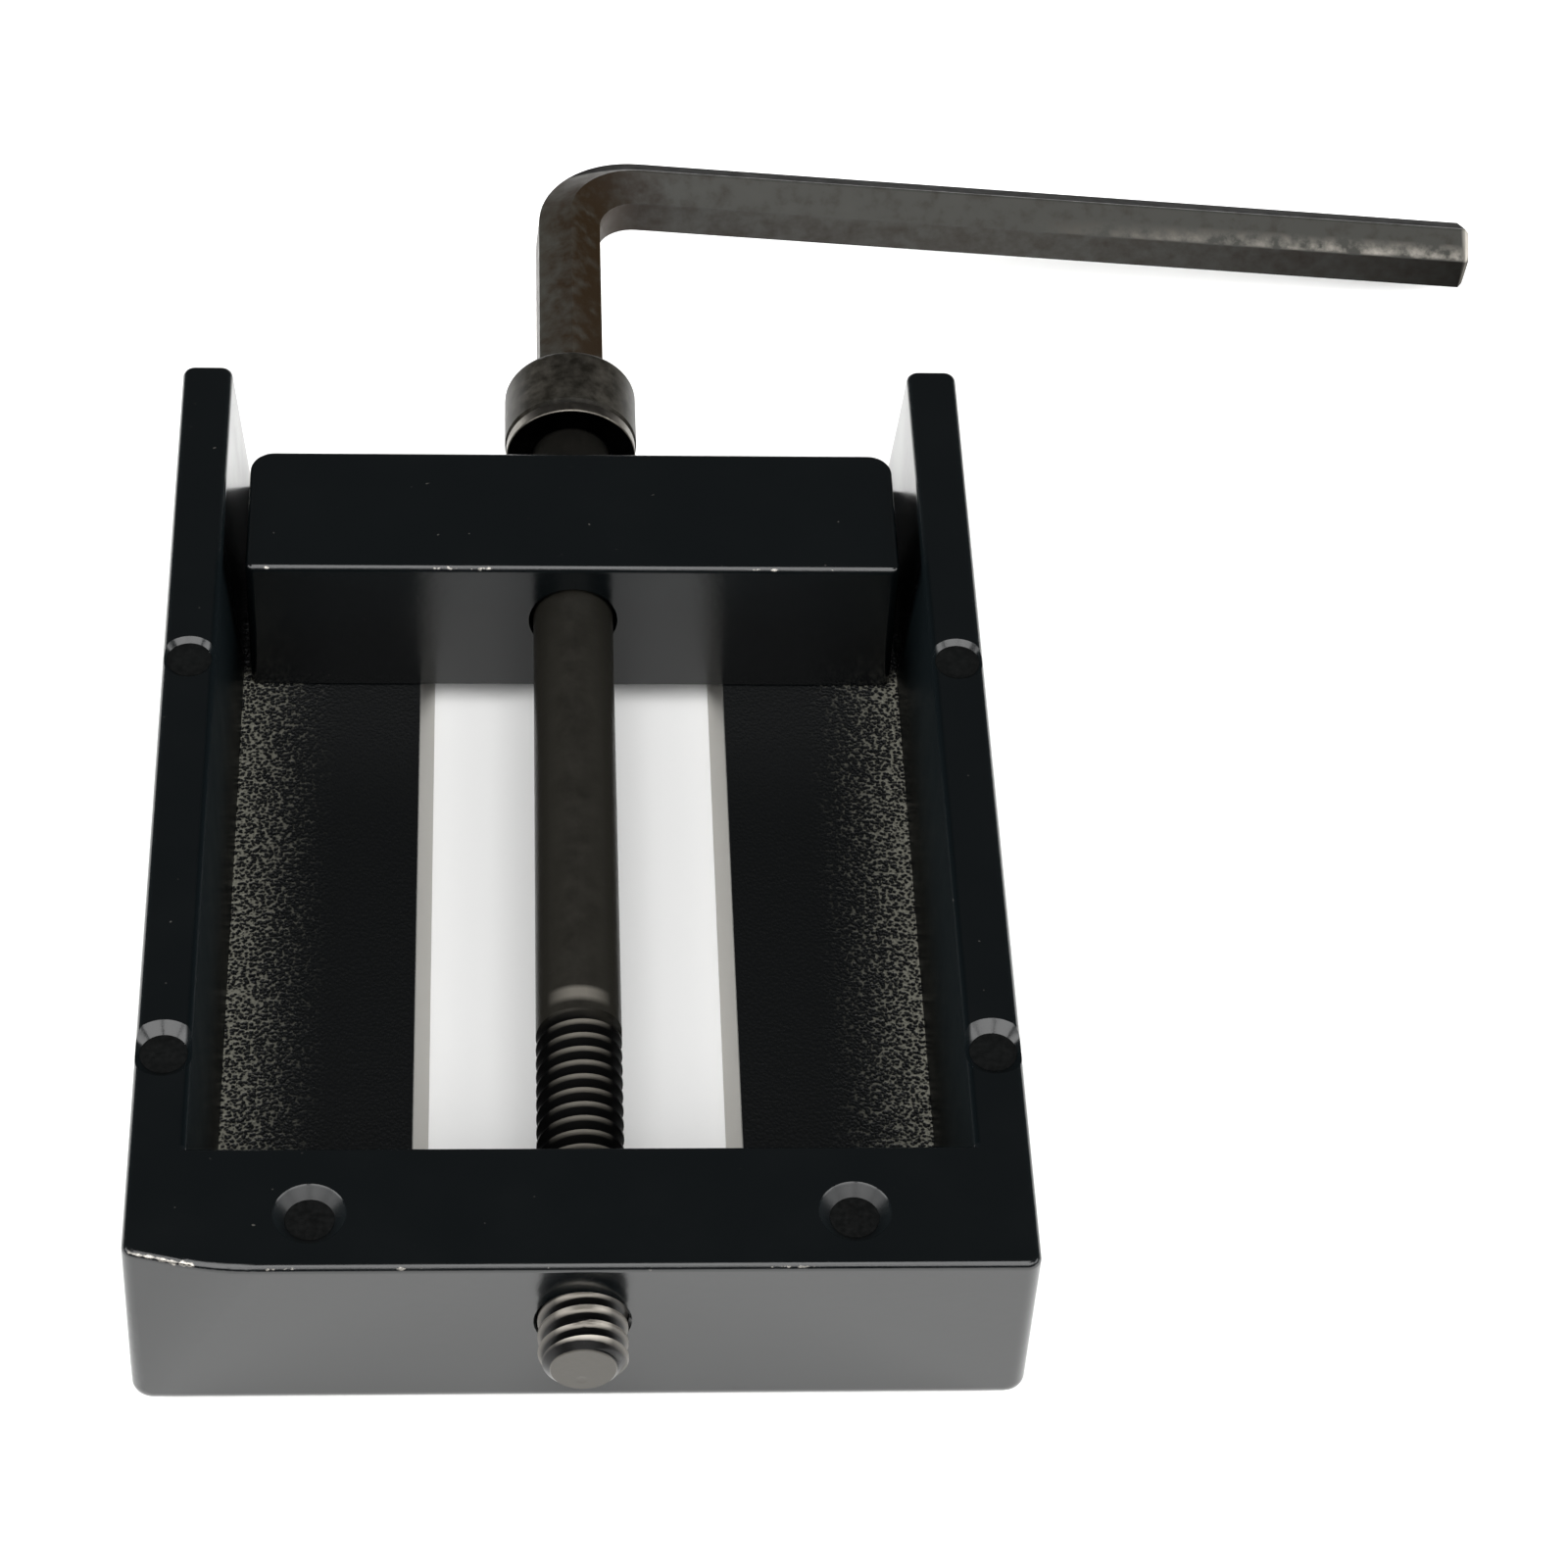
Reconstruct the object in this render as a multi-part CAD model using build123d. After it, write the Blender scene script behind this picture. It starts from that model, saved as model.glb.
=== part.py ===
from build123d import *
import math
import os

# A small flat screw vise. A U-shaped frame lies open at the rear and stands on two floor plates
# with a gap between them. A jaw slides between the rails, a long socket head screw draws it towards
# the front bar, and a hex key stays in the screw's socket.
# +X is to the right, +Y from the front bar to the screw's head, +Z up. The origin is in the middle of
# the front bar's underside. All sizes are in millimetres.

# Frame
frame_width = 60.0
frame_length = 86.0
frame_height = 15.0
bar_depth = 10.0
rail_top_width = 3.8
rail_draft = 1.15
front_lip = 2.0
frame_edge_round = 0.5
frame_corner_round = 1.0
frame_foot_round = 1.4
rail_end_round = 0.9
worn_corner_width = 6.4
worn_corner_depth = 1.5
worn_corner_blend = 18.0

# Floor plates
plate_thickness = 2.0
slot_width = 23.0
slot_bevel = 1.1
plate_fit_gap = 0.1

# Rivets that hold the plates
rivet_diameter = 3.3
rivet_head_flare = 0.15
rivet_head_height = 0.5
rivet_recess = 0.7
far_rivet_recess = 0.35
rivet_mouth_angle = 48.0
rivet_clearance = 0.02
bar_rivet_side = 17.9
bar_rivet_front = -0.5
rail_rivet_near = 13.4
rail_rivet_far = 49.8

# Sliding jaw
jaw_side_gap = 0.6
jaw_depth = 12.6
jaw_top_drop = 0.4
jaw_opening = 54.3
jaw_lift = 0.1
jaw_edge_round = 0.5
jaw_front_corner_round = 0.6
jaw_rear_corner_round = 1.8
jaw_hole_clearance = 0.35

# Clamp screw
screw_axis_height = 9.1
screw_diameter = 6.0
thread_pitch = 1.2
thread_length = 27.9
thread_depth = 0.72
thread_crest_flat = 0.2
thread_root_flat = 0.16
thread_end_chamfer = 0.5
thread_neck = 0.4
thread_neck_depth = 0.25
shank_diameter = 5.95
shank_taper = 1.9
screw_tip_chamfer = 0.85
screw_tip_reach = 3.9
bar_bore_clearance = 0.06
bar_bore_chamfer = 0.2
head_diameter = 10.3
head_height = 6.0
head_gap = 5.1
head_rim_round = 0.7
head_foot_chamfer = 0.4
socket_depth = 3.6
socket_clearance = 0.04

# Washer under the screw's head
washer_diameter = 10.1
washer_thickness = 1.0
washer_hole_clearance = 0.2
washer_edge_round = 0.2

# Hex key
key_across_flats = 5.0
key_insertion = 3.2
key_short_arm = 28.0
key_long_arm = 76.3
key_bend_radius = 5.8
key_end_chamfer = 0.35
key_rest_gap = 0.2

# Places worked out from the sizes above
bar_front = -bar_depth / 2
bar_rear = bar_depth / 2
frame_rear = bar_front + frame_length
frame_half = frame_width / 2
well_half_top = frame_half - rail_top_width
well_half_floor = well_half_top - rail_draft
slot_half = slot_width / 2
foot_half = slot_half - slot_bevel
rail_rivet_side = frame_half - rail_top_width / 2
jaw_half = well_half_floor - jaw_side_gap
jaw_front = bar_rear + jaw_opening
jaw_rear = jaw_front + jaw_depth
jaw_foot = plate_thickness + jaw_lift
washer_front = jaw_rear + head_gap
head_front = washer_front + washer_thickness
head_rear = head_front + head_height
screw_tip = bar_front - screw_tip_reach
screw_radius = screw_diameter / 2
shank_radius = shank_diameter / 2
rivet_radius = rivet_diameter / 2
key_corner_radius = key_across_flats / math.sqrt(3)
key_drop = screw_axis_height - key_corner_radius - key_rest_gap
key_tilt = math.degrees(math.asin(key_drop / key_long_arm))
past = 1.0

# Each rivet's place in the plan and how far its upper end lies below the frame's top
rivet_places = {
    "front_left": (-bar_rivet_side, bar_rivet_front, rivet_recess),
    "front_right": (bar_rivet_side, bar_rivet_front, rivet_recess),
    "near_left": (-rail_rivet_side, rail_rivet_near, rivet_recess),
    "near_right": (rail_rivet_side, rail_rivet_near, rivet_recess),
    "far_left": (-rail_rivet_side, rail_rivet_far, far_rivet_recess),
    "far_right": (rail_rivet_side, rail_rivet_far, far_rivet_recess),
}


def block(low, high):
    """A box between two corners."""
    size = [b - a for a, b in zip(low, high)]
    middle = [(a + b) / 2 for a, b in zip(low, high)]
    return Pos(*middle) * Box(*size)


def rod(radius, low, high):
    """A round bar along Y on the screw's axis, from low to high."""
    seat = Plane(origin=(0, low, screw_axis_height), z_dir=(0, 1, 0))
    return seat * Cylinder(radius, high - low, align=(Align.CENTER, Align.CENTER, Align.MIN))


def upright(radius, place, low, high):
    """A round bar along Z at a place in the plan."""
    seat = Pos(place[0], place[1], low)
    return seat * Cylinder(radius, high - low, align=(Align.CENTER, Align.CENTER, Align.MIN))


def countersink(place, top_radius, foot_radius, low, high):
    """A cone along Z between two radii."""
    seat = Pos(place[0], place[1], low)
    return seat * Cone(foot_radius, top_radius, high - low, align=(Align.CENTER, Align.CENTER, Align.MIN))


def hexagon_bar(across_flats):
    """A hexagon in the XZ plane with two corners up and down, turned with the key."""
    outline = RegularPolygon(across_flats / math.sqrt(3), 6, rotation=90)
    seat = Plane(origin=(0, 0, screw_axis_height), x_dir=(1, 0, 0), z_dir=(0, 1, 0))
    return seat * (Rot(0, 0, key_tilt) * outline)


def make_frame():
    """The one-piece U: a front bar that stands on the table and two rails that stand on the plates."""
    body = block((-frame_half, bar_front, 0), (frame_half, frame_rear, frame_height))
    body = fillet(body.edges().filter_by(Axis.Y).group_by(Axis.Z)[0], frame_foot_round)
    worn_start = Vector(worn_corner_width - frame_half, bar_front, frame_height)
    worn_side = Vector(-frame_half, bar_front + worn_corner_depth, frame_height)
    worn_foot = Vector(-frame_half, bar_front, 2 * frame_foot_round)
    worn_normal = (worn_side - worn_start).cross(worn_foot - worn_start)
    worn_plane = Plane(origin=worn_start, x_dir=worn_side - worn_start, z_dir=worn_normal)
    body -= worn_plane * Box(
        frame_width,
        frame_width,
        worn_corner_width,
        align=(Align.CENTER, Align.CENTER, Align.MIN),
    )
    body = fillet(body.edges().sort_by_distance((worn_start + worn_foot) / 2)[0], worn_corner_blend)
    sides = body.edges().filter_by(lambda e: abs(abs(e.center().X) - frame_half) < frame_edge_round)
    corners = sides.filter_by(lambda e: e.bounding_box().max.Y < 0)
    body = fillet(corners, frame_corner_round)
    well = Polyline(
        (-well_half_floor, plate_thickness),
        (well_half_floor, plate_thickness),
        (well_half_top, frame_height),
        (well_half_top, frame_height + past),
        (-well_half_top, frame_height + past),
        (-well_half_top, frame_height),
        close=True,
    )
    back_plane = Plane(origin=(0, bar_rear, 0), x_dir=(1, 0, 0), z_dir=(0, -1, 0))
    body -= extrude(back_plane * make_face(well), -(frame_rear - bar_rear + past))
    tall = body.edges().filter_by(lambda e: e.bounding_box().size.Z > frame_height / 2)
    body = fillet(tall.group_by(Axis.Y)[-1], rail_end_round)
    body = fillet(body.faces().sort_by(Axis.Z)[-1].edges(), frame_edge_round)
    lip_rear = bar_front + front_lip
    side_half = frame_half + past
    body -= block((-side_half, lip_rear, -past), (-foot_half, frame_rear + past, plate_thickness))
    body -= block((foot_half, lip_rear, -past), (side_half, frame_rear + past, plate_thickness))
    body -= block((-side_half, bar_rear, -past), (side_half, frame_rear + past, plate_thickness))
    bore_radius = screw_radius + bar_bore_clearance
    body -= rod(bore_radius, bar_front - past, bar_rear + past)
    mouth = Plane(origin=(0, bar_front, screw_axis_height), z_dir=(0, 1, 0))
    body -= mouth * Cone(
        bore_radius + bar_bore_chamfer,
        bore_radius,
        bar_bore_chamfer,
        align=(Align.CENTER, Align.CENTER, Align.MIN),
    )
    mouth_slope = math.tan(math.radians(rivet_mouth_angle))
    for place in rivet_places.values():
        mouth_radius = rivet_radius + place[2] * mouth_slope
        mouth_foot = frame_height - place[2]
        body -= upright(rivet_radius, place, -past, frame_height + past)
        body -= countersink(place, mouth_radius, rivet_radius, mouth_foot, frame_height)
    return body


def make_plate(side):
    """A flat floor plate under one rail; side is -1 on the left and 1 on the right."""
    plate_front = bar_front + front_lip + plate_fit_gap
    inner = foot_half + plate_fit_gap
    under_bar = block((inner, plate_front, 0), (frame_half, bar_rear, plate_thickness))
    section = Polyline(
        (inner, 0),
        (frame_half, 0),
        (frame_half, plate_thickness),
        (inner + slot_bevel, plate_thickness),
        close=True,
    )
    back_plane = Plane(origin=(0, bar_rear, 0), x_dir=(1, 0, 0), z_dir=(0, -1, 0))
    plate = under_bar + extrude(back_plane * make_face(section), -(frame_rear - bar_rear))
    plate = fillet(plate.edges().filter_by(Axis.Z).group_by(Axis.Y)[-1], rail_end_round)
    if side < 0:
        plate = mirror(plate, about=Plane.YZ)
    head_radius = rivet_radius + rivet_head_flare
    for place in rivet_places.values():
        if place[0] * side > 0:
            plate -= upright(rivet_radius, place, -past, plate_thickness + past)
            plate -= countersink(place, rivet_radius, head_radius, 0, rivet_head_height)
    return plate


def make_rivet(place):
    """A rivet with a flush lower head, whose upper end stops short of the frame's top."""
    radius = rivet_radius - rivet_clearance
    head_radius = radius + rivet_head_flare
    shank = upright(radius, place, rivet_clearance, frame_height - place[2])
    head = countersink(place, radius, head_radius, rivet_clearance, rivet_head_height)
    return shank + head


def make_jaw():
    """The sliding jaw: a plain block with a clearance hole for the screw."""
    body = block(
        (-jaw_half, jaw_front, jaw_foot),
        (jaw_half, jaw_rear, frame_height - jaw_top_drop),
    )
    body = fillet(body.edges().filter_by(Axis.Z).group_by(Axis.Y)[0], jaw_front_corner_round)
    body = fillet(body.edges().filter_by(Axis.Z).group_by(Axis.Y)[-1], jaw_rear_corner_round)
    body = fillet(body.faces().sort_by(Axis.Z)[-1].edges(), jaw_edge_round)
    return body - rod(screw_radius + jaw_hole_clearance, jaw_front - past, jaw_rear + past)


def make_thread_groove():
    """The right-hand groove that turns the screw's end into a thread, as one sweep along Z from the tip."""
    run_in = thread_pitch
    path = Pos(0, 0, -run_in) * Helix(thread_pitch, thread_length + run_in, screw_radius)
    mouth_half = (thread_pitch - thread_crest_flat) / 2
    root_half = thread_root_flat / 2
    slope = (mouth_half - root_half) / thread_depth
    overshoot = thread_depth / 4
    outer_half = mouth_half + slope * overshoot
    across = Plane(origin=path @ 0, x_dir=(1, 0, 0), z_dir=path % 0)
    profile = Polyline(
        (overshoot, outer_half),
        (overshoot, -outer_half),
        (-thread_depth, -root_half),
        (-thread_depth, root_half),
        close=True,
    )
    return sweep(across * make_face(profile), path, is_frenet=True)


def make_screw():
    """The socket head screw, threaded at its tip and plain up to its head."""
    shank = Cylinder(screw_radius, head_front - screw_tip, align=(Align.CENTER, Align.CENTER, Align.MIN))
    shank = chamfer(shank.edges().group_by(Axis.Z)[0], screw_tip_chamfer)
    shank -= make_thread_groove()
    neck_radius = screw_radius - thread_neck_depth
    neck_end = thread_length + thread_neck
    outside = screw_radius + past
    waste = Polyline(
        (outside, thread_length - thread_end_chamfer),
        (screw_radius, thread_length - thread_end_chamfer),
        (neck_radius, thread_length),
        (neck_radius, neck_end),
        (shank_radius, neck_end + shank_taper),
        (shank_radius, head_front - screw_tip + past),
        (outside, head_front - screw_tip + past),
        close=True,
    )
    shank -= revolve(Plane.XZ * make_face(waste), Axis.Z)
    seat = Plane(origin=(0, screw_tip, screw_axis_height), z_dir=(0, 1, 0))
    head = rod(head_diameter / 2, head_front, head_rear)
    head = fillet(head.edges().group_by(Axis.Y)[-1], head_rim_round)
    head = chamfer(head.edges().group_by(Axis.Y)[0], head_foot_chamfer)
    socket = extrude(hexagon_bar(key_across_flats + 2 * socket_clearance), socket_depth)
    return seat * shank + head - Pos(0, head_rear - socket_depth, 0) * socket


def make_washer():
    """A plain washer that lies against the head's bearing face."""
    ring = rod(washer_diameter / 2, washer_front, head_front)
    ring = fillet(ring.edges().group_by(Axis.Y)[0], washer_edge_round)
    return ring - rod(screw_radius + washer_hole_clearance, washer_front - past, head_front + past)


def make_key():
    """The hex key: its short arm in the socket, its long arm to the right and a little down."""
    tip = head_rear - key_insertion
    long_line = tip + key_short_arm
    bend_start = long_line - key_bend_radius
    lean = math.radians(key_tilt)
    along = Vector(math.cos(lean), 0, -math.sin(lean))
    start = Vector(0, tip, screw_axis_height)
    corner = Vector(0, bend_start, screw_axis_height)
    after = Vector(0, long_line, screw_axis_height) + along * key_bend_radius
    end = Vector(0, long_line, screw_axis_height) + along * key_long_arm
    path = Line(start, corner) + TangentArc(corner, after, tangent=(0, 1, 0)) + Line(after, end)
    body = sweep(Pos(0, tip, 0) * hexagon_bar(key_across_flats), path)
    for face in (body.faces().sort_by(Axis.Y)[0], body.faces().sort_by(Axis(end, along))[-1]):
        body = chamfer(body.edges().filter_by(lambda e: e in face.edges()), key_end_chamfer)
    return body


parts = {
    "frame": make_frame(),
    "left_floor_plate": make_plate(-1),
    "right_floor_plate": make_plate(1),
    "sliding_jaw": make_jaw(),
    "clamp_screw": make_screw(),
    "head_washer": make_washer(),
    "hex_key": make_key(),
}
for name, place in rivet_places.items():
    parts["plate_rivet_" + name] = make_rivet(place)

os.makedirs("parts", exist_ok=True)
for name, solid in parts.items():
    export_step(solid, "parts/" + name + ".step")
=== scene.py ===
import math

import bpy
from mathutils import Matrix, Vector


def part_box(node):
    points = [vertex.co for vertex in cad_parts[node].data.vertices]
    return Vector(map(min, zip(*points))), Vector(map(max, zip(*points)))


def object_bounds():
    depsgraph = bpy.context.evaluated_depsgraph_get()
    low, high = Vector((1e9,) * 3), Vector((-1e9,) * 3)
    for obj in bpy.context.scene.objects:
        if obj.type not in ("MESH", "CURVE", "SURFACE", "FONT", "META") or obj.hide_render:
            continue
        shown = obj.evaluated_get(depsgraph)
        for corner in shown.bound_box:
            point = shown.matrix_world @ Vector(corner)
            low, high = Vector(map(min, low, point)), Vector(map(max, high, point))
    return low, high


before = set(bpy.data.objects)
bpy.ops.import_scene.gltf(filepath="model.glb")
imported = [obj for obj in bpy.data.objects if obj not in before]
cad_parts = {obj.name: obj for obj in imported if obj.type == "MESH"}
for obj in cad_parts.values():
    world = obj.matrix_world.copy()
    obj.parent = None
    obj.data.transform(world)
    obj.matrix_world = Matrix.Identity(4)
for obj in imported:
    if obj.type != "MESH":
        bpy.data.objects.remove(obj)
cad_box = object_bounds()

bl_info = {
    "name": "Small screw vise",
    "version": (1, 0, 0),
    "blender": (4, 5, 0),
    "location": "3D View > Sidebar > Vise",
    "description": "Finishes the pieces of a small flat screw vise and sets up its studio",
    "category": "Object",
}

MM = 0.001
PHOTO_SIDE = 1600
SENSOR_WIDTH = 36.0
CLIP_START = 0.01
CLIP_END = 20
FLOOR_SIDE = 6.0
FLOOR_GAP = 0.02 * MM
WORLD_GREY = 0.06
LIGHT_AIM = (0, 0.03, 0)

# Nearly all the values of a noise texture lie between these two.
NOISE_LOW = 0.3
NOISE_HIGH = 0.7

RIVETS = [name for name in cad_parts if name.startswith("plate_rivet")]
FRONT_RIVETS = [name for name in RIVETS if "front" in name]
PLATES = ["left_floor_plate", "right_floor_plate"]


def in_mm(corner):
    """A corner of a node's box in millimetres."""
    return [value / MM for value in corner]


frame_low, frame_high = map(in_mm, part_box("frame"))
jaw_low, jaw_high = map(in_mm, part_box("sliding_jaw"))
plate_low = in_mm(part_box("right_floor_plate")[0])
screw_low, screw_high = map(in_mm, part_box("clamp_screw"))
washer_low = in_mm(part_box("head_washer")[0])
key_low, key_high = map(in_mm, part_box("hex_key"))

# Sizes of the CAD, in millimetres, that the boxes don't tell.
rail_top_width = 3.8
edge_round = 0.5
jaw_side_gap = 0.6
bevel_width = 1.1
mouth_reach = 2.8
worn_corner_width = 6.4
worn_corner_depth = 1.5
thread_radius = 3.0
thread_length = 27.9
thread_neck = 0.4
shank_taper = 1.9
key_half_flat = 2.5
key_bend_end = 7.0

# Places on the pieces, in millimetres.
bar_back = -frame_low[1]
wall_top = frame_high[0] - rail_top_width + edge_round
wall_foot = jaw_high[0] + jaw_side_gap
bevel_top = plate_low[0] + bevel_width
worn_corner_start = frame_low[0] + worn_corner_width
screw_axis_height = (screw_low[2] + screw_high[2]) / 2
thread_end = screw_low[1] + thread_length
taper_end = thread_end + thread_neck + shank_taper
key_corner_radius = key_half_flat / math.cos(math.radians(30))
key_long_line = key_high[1] - key_half_flat
key_lean = math.atan((screw_axis_height - key_low[2] - key_corner_radius) / key_high[0])
key_low_edge = key_corner_radius / 2

# How a finish fades in, in millimetres: the place where it starts and the place where it is full.
corner_wear_fade = (worn_corner_start + 1.0, worn_corner_start - 1.5)
mouth_fade = (mouth_reach, mouth_reach - 0.1)
mouth_depth_fade = (0.02, 0.1)
wall_fade = (wall_top, wall_top - 0.2)
past_bar_fade = (bar_back, bar_back + 0.2)
matt_wall_fade = (jaw_low[1] + 4.0, jaw_low[1])
bevel_fade = (bevel_top, bevel_top - 0.1)
beside_rail_fade = (wall_foot - 7.5, wall_foot)
uncovered_fade = (wall_foot + 0.9, wall_foot + 0.4)
# Behind the jaw's front face the plates' painted grain highlight gives way to the jaw's painted
# shadow.
jaw_shadow_fade = (jaw_low[1] + 2.0, jaw_low[1])
crest_fade = (thread_radius - 0.22, thread_radius - 0.03)
tip_crest_fade = (thread_radius - 0.36, thread_radius - 0.1)
thread_fade = (thread_end + 0.2, thread_end - 0.2)
taper_start_fade = (thread_end + 0.8, thread_end + 1.3)
taper_end_fade = (taper_end, taper_end - 0.4)
# The next two fade the painted highlight along the top of the screw and of its tip.
screw_highlight_fade = (2.2, 0.5)
tip_highlight_fade = (1.9, 0.5)
tip_fade = (frame_low[1] + 1.0, frame_low[1] + 0.4)
head_fade = (thread_radius + 0.6, thread_radius + 1.2)
# Painted shade on the shank behind the jaw.
behind_jaw_fade = (jaw_high[1] - 1.0, jaw_high[1])
screw_end_fade = (screw_low[1] + 0.1, screw_low[1] + 0.05)
# Painted shade on the washer's face towards the jaw.
washer_face_fade = (washer_low[1] + 0.08, washer_low[1] + 0.03)
# Among the next lines, the key's under, back and end fades place its painted shade and its end's
# painted highlight.
key_under_fade = (key_low_edge, key_low_edge - 0.2)
key_above_fade = (key_low_edge - 0.1, key_low_edge + 0.05)
key_corner_fade = (key_low_edge + 0.7, key_low_edge)
key_far_fade = (key_high[0] / 2, key_high[0])
key_end_fade = (key_high[0] - 0.7, key_high[0] - 0.4)
key_back_fade = (-0.2, 0.3)

# Sizes of the patterns, in millimetres. The marks of turning on the rivets and on the washer and
# the paper's fibre are really too fine to show, so they are drawn this coarse.
chip_lump = 2.2
chip_reach = 0.5
chip_fade = 0.12
corner_chip_reach = 0.12
dust_speck = 0.55
gloss_cloud = 7.0
peel_width, peel_depth = 0.6, 0.05
grain_depth = 0.2
rivet_mark_width, rivet_mark_depth = 0.4, 0.05
rub_width, rub_depth = 1.4, 0.1
nick_spacing = 3.5
washer_mark_width, washer_mark_depth = 0.5, 0.05
scale_width, scale_depth = 1.2, 0.08
fibre_width, fibre_depth = 0.8, 0.05

# Amounts without a unit.
matt_roughness = 0.18
# Shape of the painted highlight on the plates' grain beside the rails.
glint_bias = 0.3
glint_steepness = 1.5
# How much browner the key's underside is painted, as shade.
under_brown = 0.15


def linear(code):
    """A linear colour from an sRGB hex code."""
    parts = [int(code[i:i + 2], 16) / 255 for i in (1, 3, 5)]
    return tuple(c / 12.92 if c <= 0.04045 else ((c + 0.055) / 1.055) ** 2.4 for c in parts)


def node(tree, kind, inputs=None, **settings):
    """Adds a node with its settings; an input takes a value or another node's socket."""
    made = tree.nodes.new(kind)
    for name, value in settings.items():
        setattr(made, name, value)
    for socket, value in (inputs or {}).items():
        if isinstance(value, bpy.types.NodeSocket):
            tree.links.new(value, made.inputs[socket])
        elif made.inputs[socket].type == "RGBA":
            made.inputs[socket].default_value = (*value, 1.0)
        else:
            made.inputs[socket].default_value = value
    return made


def new_material(name):
    """An empty material with its tree and the vise's own coordinates in millimetres."""
    material = bpy.data.materials.new(name)
    material.use_nodes = True
    tree = material.node_tree
    tree.nodes.clear()
    place = node(tree, "ShaderNodeTexCoord")
    scaled = node(
        tree,
        "ShaderNodeVectorMath",
        {0: place.outputs["Object"], 1: (1 / MM, 1 / MM, 1 / MM)},
        operation="MULTIPLY",
    )
    return material, tree, scaled.outputs["Vector"]


def dress(names, material):
    """Gives the CAD nodes of these names a material."""
    for name in names:
        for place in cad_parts[name].material_slots:
            place.material = material


def edge_chips(tree, where, front, top, extra=None):
    """A mask of the chips on a top front edge.

    front is the edge's Y, a number or a socket, and extra a socket that widens the chips.
    """
    axes = node(tree, "ShaderNodeSeparateXYZ", {0: where})
    behind = node(tree, "ShaderNodeMath", {0: axes.outputs["Y"], 1: front}, operation="SUBTRACT")
    below = node(tree, "ShaderNodeMath", {0: top, 1: axes.outputs["Z"]}, operation="SUBTRACT")
    away = node(
        tree,
        "ShaderNodeMath",
        {0: behind.outputs[0], 1: below.outputs[0]},
        operation="MAXIMUM",
    )
    lumps = node(
        tree,
        "ShaderNodeTexNoise",
        {"Vector": where, "Scale": 1 / chip_lump, "Detail": 4.0, "Roughness": 0.7},
    )
    reach = node(
        tree,
        "ShaderNodeMapRange",
        {"Value": lumps.outputs["Fac"], "From Min": 0.48, "From Max": 0.8, "To Max": chip_reach},
    )
    wide = reach.outputs[0]
    if extra is not None:
        wide = node(tree, "ShaderNodeMath", {0: wide, 1: extra}, operation="ADD").outputs[0]
    left = node(tree, "ShaderNodeMath", {0: wide, 1: away.outputs[0]}, operation="SUBTRACT")
    mask = node(tree, "ShaderNodeMapRange", {"Value": left.outputs[0], "From Max": chip_fade})
    return mask.outputs[0]


def bar_mouths(tree, where, top):
    """A mask of the two sunk mouths on the front bar."""
    nearest = mouth_reach
    for name in FRONT_RIVETS:
        low, high = map(in_mm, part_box(name))
        centre = ((low[0] + high[0]) / 2, (low[1] + high[1]) / 2, top)
        apart = node(tree, "ShaderNodeVectorMath", {0: where, 1: centre}, operation="DISTANCE")
        closer = node(
            tree,
            "ShaderNodeMath",
            {0: nearest, 1: apart.outputs["Value"]},
            operation="MINIMUM",
        )
        nearest = closer.outputs[0]
    inside = node(
        tree,
        "ShaderNodeMapRange",
        {"Value": nearest, "From Min": mouth_fade[0], "From Max": mouth_fade[1]},
    )
    axes = node(tree, "ShaderNodeSeparateXYZ", {0: where})
    sunk = node(
        tree,
        "ShaderNodeMapRange",
        {
            "Value": axes.outputs["Z"],
            "From Min": top - mouth_depth_fade[0],
            "From Max": top - mouth_depth_fade[1],
        },
    )
    mask = node(
        tree,
        "ShaderNodeMath",
        {0: inside.outputs[0], 1: sunk.outputs[0]},
        operation="MULTIPLY",
    )
    return mask.outputs[0]


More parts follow.
